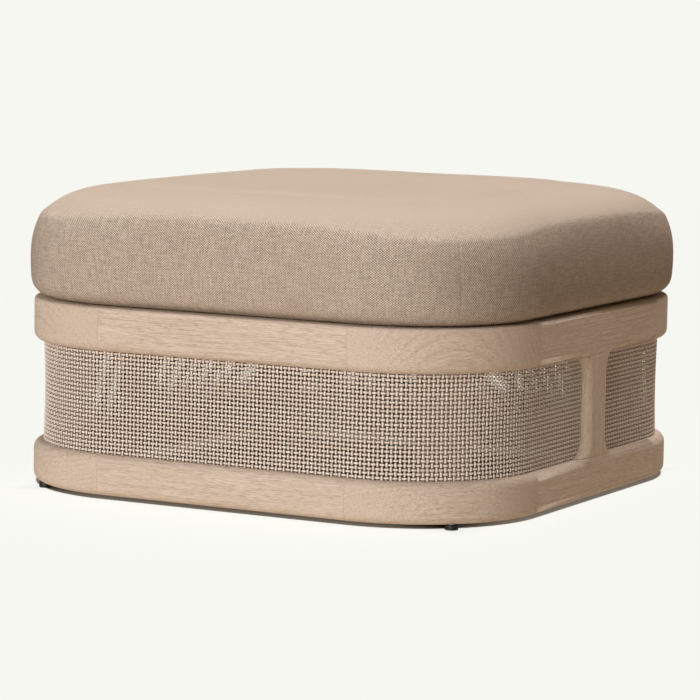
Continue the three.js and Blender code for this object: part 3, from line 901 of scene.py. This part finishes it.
def plan_place(distance, offset):
    """A place on the right side's outline, at a distance along it from its middle."""
    past = abs(distance) - STRAIGHT
    if past <= 0:
        return Vector((HALF + offset, distance))
    angle = past / RADIUS
    normal = Vector((math.cos(angle), math.copysign(math.sin(angle), distance)))
    centre = Vector((STRAIGHT, math.copysign(STRAIGHT, distance)))
    return centre + normal * (RADIUS + offset)


def seam_height(distance):
    place = plan_place(distance, 0)
    drop = math.sin(2 * math.atan2(place.y, place.x)) ** 4
    return SEAM_MIDDLE - (SEAM_MIDDLE - SEAM_CORNER) * drop


def side_profile(level, seam):
    """Offset, height and length run up the side at one of its rows."""
    if level < len(FOOT_SHARES):
        angle = (FOOT_SHARES[level] - 1) * math.pi / 2
        offset = OVERHANG - BOTTOM_ROUND + BOTTOM_ROUND * math.cos(angle)
        height = BOTTOM_ROUND + BOTTOM_ROUND * math.sin(angle)
        return offset, height, FOOT_SHARES[level] * BOTTOM_ROUND * math.pi / 2
    share = CLIMB_SHARES[level - len(FOOT_SHARES)]
    height = BOTTOM_ROUND + (seam - BOTTOM_ROUND) * share
    run = BOTTOM_ROUND * math.pi / 2 + height - BOTTOM_ROUND
    return side_offset(height, seam), height, run


def spread(share, rows=SEAM_ROWS):
    """Moves the grid lines next to a seam close to it, and leaves the rest even."""
    last = CUSHION_GRID / 2
    places = [0, 1 - sum(rows) / SIDE_REACH, 1 - rows[0] / SIDE_REACH, 1]
    moved = np.interp(abs(share) * last, [0, last - 2, last - 1, last], places)
    return math.copysign(moved, share)


def cushion_grid():
    """A cube cut into a fine grid, whose upright edges become the corner seams."""
    bm = bmesh.new()
    bmesh.ops.create_cube(bm, size=2)
    upright = [e for e in bm.edges if abs(e.verts[0].co.z - e.verts[1].co.z) > 1]
    bmesh.ops.subdivide_edges(bm, edges=upright, cuts=CUSHION_ROWS - 1, use_grid_fill=True)
    level = [
        e for e in bm.edges
        if near(e.verts[0].co.z, e.verts[1].co.z) and e.calc_length() > 1
    ]
    bmesh.ops.subdivide_edges(bm, edges=level, cuts=CUSHION_GRID - 1, use_grid_fill=True)
    return bm


def cube_place(co):
    """Which side a cube's point belongs to, its place along that side and its ring."""
    ring = max(abs(co.x), abs(co.y))
    if ring < 1e-6:
        return 0, 0.0, 0.0
    if abs(co.x) >= abs(co.y):
        quarter = 0 if co.x > 0 else 2
    else:
        quarter = 1 if co.y > 0 else 3
    turned = Matrix.Rotation(-quarter * math.pi / 2, 2) @ Vector((co.x, co.y))
    return quarter, turned.y / ring, ring


def cushion_place(co):
    """Where a cube's point lies on the cushion."""
    quarter, along, ring = cube_place(co)
    distance = spread(along) * SIDE_REACH
    seam = seam_height(distance)
    if ring > 1 - 1e-6:
        level = round((co.z + 1) / 2 * CUSHION_ROWS)
        offset, height, _ = side_profile(level, seam)
        place = plan_place(distance, offset)
    elif co.z > 0:
        share = spread(ring, RIM_ROWS)
        inward = (1 - share) * (HALF - SEAM_INSET)
        height = seam + (CROWN - seam) * (1 - math.exp(-inward / CROWN_REACH))
        place = plan_place(distance, -SEAM_INSET) * share
    else:
        height = 0
        place = plan_place(distance, OVERHANG - BOTTOM_ROUND) * spread(ring)
    turned = Matrix.Rotation(quarter * math.pi / 2, 2) @ place
    return Vector((turned.x, turned.y, CUSHION_BASE + height))


def lay_cloth(bm):
    """A UV map in metres of cloth, across the ribs and along them, for each panel."""
    cloth = bm.loops.layers.uv.new("cloth")
    for face in bm.faces:
        middle = face.calc_center_median()
        quarter, _, _ = cube_place(middle)
        for loop in face.loops:
            co = loop.vert.co
            if abs(middle.z) > 1 - 1e-6:
                place = cushion_place(co)
                loop[cloth].uv = (place.x + 2, place.y + 2)
                continue
            turned = Matrix.Rotation(-quarter * math.pi / 2, 2) @ Vector((co.x, co.y))
            distance = spread(turned.y) * SIDE_REACH
            level = round((co.z + 1) / 2 * CUSHION_ROWS)
            run = side_profile(level, seam_height(distance))[2]
            start = 5 + 3 * quarter
            is_flank = quarter % 2 == 0
            loop[cloth].uv = (run + start, distance) if is_flank else (distance + start, run)


def puffed(mesh, held):
    """The mesh's points after cloth under pressure has filled it, the held ones fixed."""
    scratch = shown("cushion filling", mesh.copy())
    scene = bpy.context.scene
    group = scratch.vertex_groups.new(name="held")
    group.add([int(index) for index in np.flatnonzero(held)], 1.0, "REPLACE")
    cloth = scratch.modifiers.new("Cloth", "CLOTH")
    cloth.settings.use_pressure = True
    cloth.settings.uniform_pressure_force = FILL_PRESSURE
    cloth.settings.effector_weights.gravity = 0
    cloth.settings.vertex_group_mass = "held"
    cloth.settings.shrink_min = CLOTH_EASE
    cloth.point_cache.frame_end = FILL_FRAMES
    for number in range(1, FILL_FRAMES + 1):
        scene.frame_set(number)
    filled = scratch.evaluated_get(bpy.context.evaluated_depsgraph_get())
    points = mesh_points(filled.data)
    scene.frame_set(1)
    bpy.data.objects.remove(scratch)
    return points


def evened(lift, mesh, held):
    """Takes the smallest wrinkles out of the filling's lift."""
    pairs = np.empty(len(mesh.edges) * 2, np.int32)
    mesh.edges.foreach_get("vertices", pairs)
    first, second = pairs.reshape(-1, 2).T
    count = len(lift)
    neighbours = np.bincount(pairs, minlength=count)
    for _ in range(EVENING_ROUNDS):
        total = np.bincount(first, lift[second], count) + np.bincount(second, lift[first], count)
        lift = total / neighbours * ~held
    return lift


def on_zip(place, margin):
    """Whether a place is on the back band, within a margin of the zip's slot."""
    return (
        place.y > 0.3 and abs(place.x) < ZIP_HALF_LENGTH + margin
        and abs(place.z - CUSHION_BASE - ZIP_HEIGHT) < ZIP_SLOT_WIDTH / 2 + margin
    )


def cut_zip_slot(mesh):
    """Lets the zip into the back band: a slot with folded lips and a floor behind the tape."""
    bm = bmesh.new()
    bm.from_mesh(mesh)
    middle = CUSHION_BASE + ZIP_HEIGHT
    low, high = middle - ZIP_SLOT_WIDTH / 2, middle + ZIP_SLOT_WIDTH / 2
    planes = [((0, 0, low), (0, 0, 1)), ((0, 0, high), (0, 0, 1))]
    planes += [((x, 0, 0), (1, 0, 0)) for x in (-ZIP_HALF_LENGTH, ZIP_HALF_LENGTH)]
    for place, normal in planes:
        zone = [f for f in bm.faces if on_zip(f.calc_center_median(), ZIP_CUT_MARGIN)]
        around = {v for f in zone for v in f.verts} | {e for f in zone for e in f.edges}
        bmesh.ops.bisect_plane(
            bm, geom=zone + list(around), dist=1e-6, plane_co=place, plane_no=normal
        )
    slot = [f for f in bm.faces if on_zip(f.calc_center_median(), 0)]
    crease = bm.edges.layers.float.new("crease_edge")
    for thickness, depth in ((0, 0), (0.0003, 0), (0.0002, -ZIP_FLOOR_DEPTH)):
        if thickness:
            bmesh.ops.inset_region(bm, faces=slot, thickness=thickness, depth=depth)
        for edge in {e for f in slot for e in f.edges}:
            if sum(f in slot for f in edge.link_faces) == 1:
                edge[crease] = 1.0
    bm.to_mesh(mesh)
    bm.free()


def zip_turn():
    """Turns a flat zip, X along it and Z facing out, to lie on the back band."""
    low = side_offset(ZIP_HEIGHT - ZIP_SLOT_WIDTH / 2, SEAM_MIDDLE)
    high = side_offset(ZIP_HEIGHT + ZIP_SLOT_WIDTH / 2, SEAM_MIDDLE)
    tilt = math.atan2(low - high, ZIP_SLOT_WIDTH)
    up = Vector((0, -math.sin(tilt), math.cos(tilt)))
    out = Vector((0, math.cos(tilt), math.sin(tilt)))
    turn = Matrix((Vector((-1, 0, 0)), up, out)).transposed().to_4x4()
    place = (0, HALF + (low + high) / 2 - ZIP_RECESS, CUSHION_BASE + ZIP_HEIGHT)
    return Matrix.Translation(place) @ turn


def add_zip():
    turn = zip_turn()
    tape = cube_of((TAPE_LENGTH, TAPE_WIDTH, TAPE_THICKNESS))
    bmesh.ops.translate(tape, verts=tape.verts, vec=(0, 0, -TAPE_THICKNESS / 2))
    ease(tape, tape.edges[:], ZIP_EASE, 2)
    bmesh.ops.transform(tape, matrix=turn, verts=tape.verts)
    new_piece(
        "zip_tape_cloth", tape, TAPE, "cushion", ["zip_tape"], even_shading=True
    )
    coil = cube_of(TOOTH_SIZE)
    ease(coil, coil.edges[:], ZIP_EASE, 1)
    start = COIL_MARGIN - TAPE_LENGTH / 2
    teeth = int((TAPE_LENGTH - 2 * COIL_MARGIN) / TOOTH_PITCH * 2)
    sways = [TOOTH_SWAY if n % 2 else -TOOTH_SWAY for n in range(teeth)]
    lie = TOOTH_SIZE[2] / 2
    repeated(coil, [(start + n * TOOTH_PITCH / 2, sway, lie) for n, sway in enumerate(sways)])
    bmesh.ops.transform(coil, matrix=turn, verts=coil.verts)
    new_piece("zip_coil", coil, NYLON, "cushion", ["zip_tape"])
    for node, offset in (("zip_slider", 0.0003), ("zip_pull", 0.0004)):
        bm = eased_copy(node, offset, 3)
        new_piece(node + "_metal", bm, ZIP_METAL, node, [node], even_shading=True)


def sewn_depths(bm):
    """How deep each vertex of the grid is sewn in: most at the corners, less at the rims."""
    depths = np.zeros(len(bm.verts))
    for index, vert in enumerate(bm.verts):
        co = vert.co
        upright = near(abs(co.x), 1) and near(abs(co.y), 1)
        rim = near(abs(co.z), 1) and near(max(abs(co.x), abs(co.y)), 1)
        depths[index] = 1 if upright else RIM_SEAM if rim else 0
    return depths


def filled_points(mesh, normals, seams, bottom):
    """The cover's points once it is filled: seams, underside and zip stay where they are."""
    points = mesh_points(mesh)
    near_zip = np.array([on_zip(Vector(point), ZIP_CALM_MARGIN) for point in points])
    held = (seams > 0) | bottom | near_zip
    lift = ((puffed(mesh, held) - points) * normals).sum(1)
    on_top = normals[:, 2] > 0.8
    for panel in (on_top & ~held, ~on_top & ~held):
        lift[panel] -= np.median(lift[panel])
    lift = np.clip(evened(lift, mesh, held), -PUFF_CAP, PUFF_CAP) * ~held
    points += normals * (lift - seams * SEAM_DEPTH)[:, None]
    points[:, 2] = np.maximum(points[:, 2], CUSHION_BASE)
    return points


def add_cushion():
    bm = cushion_grid()
    lay_cloth(bm)
    seams = sewn_depths(bm)
    bottom = np.array([near(vert.co.z, -1) for vert in bm.verts])
    places = [cushion_place(vert.co) for vert in bm.verts]
    for vert, place in zip(bm.verts, places):
        vert.co = place
    bmesh.ops.recalc_face_normals(bm, faces=bm.faces)
    mesh = made_mesh("cushion_cover", bm)
    normals = mesh_normals(mesh)
    points = filled_points(mesh, normals, seams, bottom)
    mesh.vertices.foreach_set("co", points.ravel())
    set_numbers(mesh, "seam", seams)
    facing_up = np.clip(normals[:, 2] * 2 - 0.8, 0, 1)
    # Where shade is painted on the cloth that faces sideways along X.
    painted_side_shade = np.clip(np.abs(normals[:, 0]) * 2 - 0.9, 0, 1)
    set_vectors(mesh, "panel", np.stack([facing_up, painted_side_shade, 0 * facing_up], 1))
    cut_zip_slot(mesh)
    nodes = ["cushion_core", "cushion_top_panel", "cushion_bottom_panel"]
    nodes += [f"cushion_band_{side}" for side in SIDES]
    cover = piece_of("cushion_cover", mesh, FABRIC, "cushion", nodes)
    smooth = cover.modifiers.new("Smooth", "SUBSURF")
    smooth.levels = 1
    smooth.render_levels = 1


# Stage, light and camera


def add_stage():
    """A floor that looks near white, and lights the object from below like warm stone.

    Its glow keeps the shadow pale, and stops inside the frame, which is dark.
    """
    paint = material_paint("Floor")
    seen = paint.node("ShaderNodeLightPath", {}, {}, "Is Camera Ray")
    x, y, _ = paint.parts(paint.node("ShaderNodeTexCoord", {}, {}, "Object"))
    away = x.maths("MAXIMUM", abs(x), abs(y))
    outside = away.above(HALF - FLOOR_DARK_INSET, HALF - FLOOR_GLOW_INSET)
    paint.surface(
        Base_Color=paint.mix(seen, FLOOR_BOUNCE, FLOOR_SHOWN),
        Emission_Color=paint.mix(seen * outside, (0, 0, 0, 1), FLOOR_SHADOW),
        Emission_Strength=1,
        Roughness=0.9,
        Specular_IOR_Level=0.0,
    )
    bm = bmesh.new()
    bmesh.ops.create_grid(bm, x_segments=1, y_segments=1, size=FLOOR_SIZE)
    floor = shown("floor", made_mesh("floor", bm))
    floor.data.materials.append(paint.owner)
    floor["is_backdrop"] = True
    return floor


def add_world():
    """A dim warm surround that shows near white behind the object."""
    paint = Paint(bpy.data.worlds.new("Studio"))
    seen = paint.node("ShaderNodeLightPath", {}, {}, "Is Camera Ray")
    sockets = {"Color": WORLD_TINT, "Strength": WORLD_LIGHT}
    glow = paint.node("ShaderNodeBackground", {}, sockets)
    pale = paint.node("ShaderNodeBackground", {}, {"Color": BACKGROUND})
    both = paint.node("ShaderNodeMixShader", {}, {0: seen, 1: glow, 2: pale})
    paint.node("ShaderNodeOutputWorld", {}, {"Surface": both})
    bpy.context.scene.world = paint.owner


def lit_only(name, pieces):
    """A collection of what one light reaches."""
    collection = bpy.data.collections.new(name)
    for piece in pieces:
        collection.objects.link(piece)
    return collection


def add_sun(name, strength, receivers, width, azimuth, elevation, tint=(1, 1, 1)):
    """A sun from an azimuth, counted from the front towards -X. Its angles are in degrees."""
    light = bpy.data.lights.new(name, "SUN")
    light.energy = strength * math.pi
    light.angle = math.radians(width)
    light.color = tint
    lamp = shown(name, light)
    around, up = math.radians(azimuth), math.radians(elevation)
    flat = math.cos(up)
    towards = Vector((-math.sin(around) * flat, -math.cos(around) * flat, math.sin(up)))
    lamp.rotation_euler = towards.to_track_quat("Z", "Y").to_euler()
    lamp.light_linking.receiver_collection = receivers


def add_lights(floor):
    """Two suns for the object, and one that only brightens the floor around its shadow."""
    object_only = lit_only("lit object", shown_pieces())
    floor_only = lit_only("lit floor", [floor])
    add_sun("overhead", OVERHEAD, object_only, 25, azimuth=180, elevation=72, tint=OVERHEAD_TINT)
    add_sun("key", KEY, object_only, 40, azimuth=5, elevation=14)
    add_sun("floor_light", FLOOR_LIGHT, floor_only, 5, azimuth=-CAMERA_AZIMUTH, elevation=28)


def add_camera():
    data = bpy.data.cameras.new("camera")
    data.lens = CAMERA_LENS
    data.sensor_width = 36
    data.clip_end = 400
    camera = shown("camera", data)
    turn = Matrix.Rotation(math.radians(CAMERA_AZIMUTH), 4, "Z")
    tip = Matrix.Rotation(math.radians(90 - CAMERA_PITCH), 4, "X")
    roll = Matrix.Rotation(math.radians(CAMERA_ROLL), 4, "Z")
    camera.matrix_world = Matrix.Translation(CAMERA_PLACE) @ turn @ tip @ roll
    bpy.context.scene.camera = camera


add_timber()
add_cane()
add_hidden_timber()
add_slat_screws()
add_glides()
add_cushion()
add_zip()
floor = add_stage()
add_world()
add_lights(floor)
add_camera()
bpy.context.scene.view_settings.view_transform = "Standard"
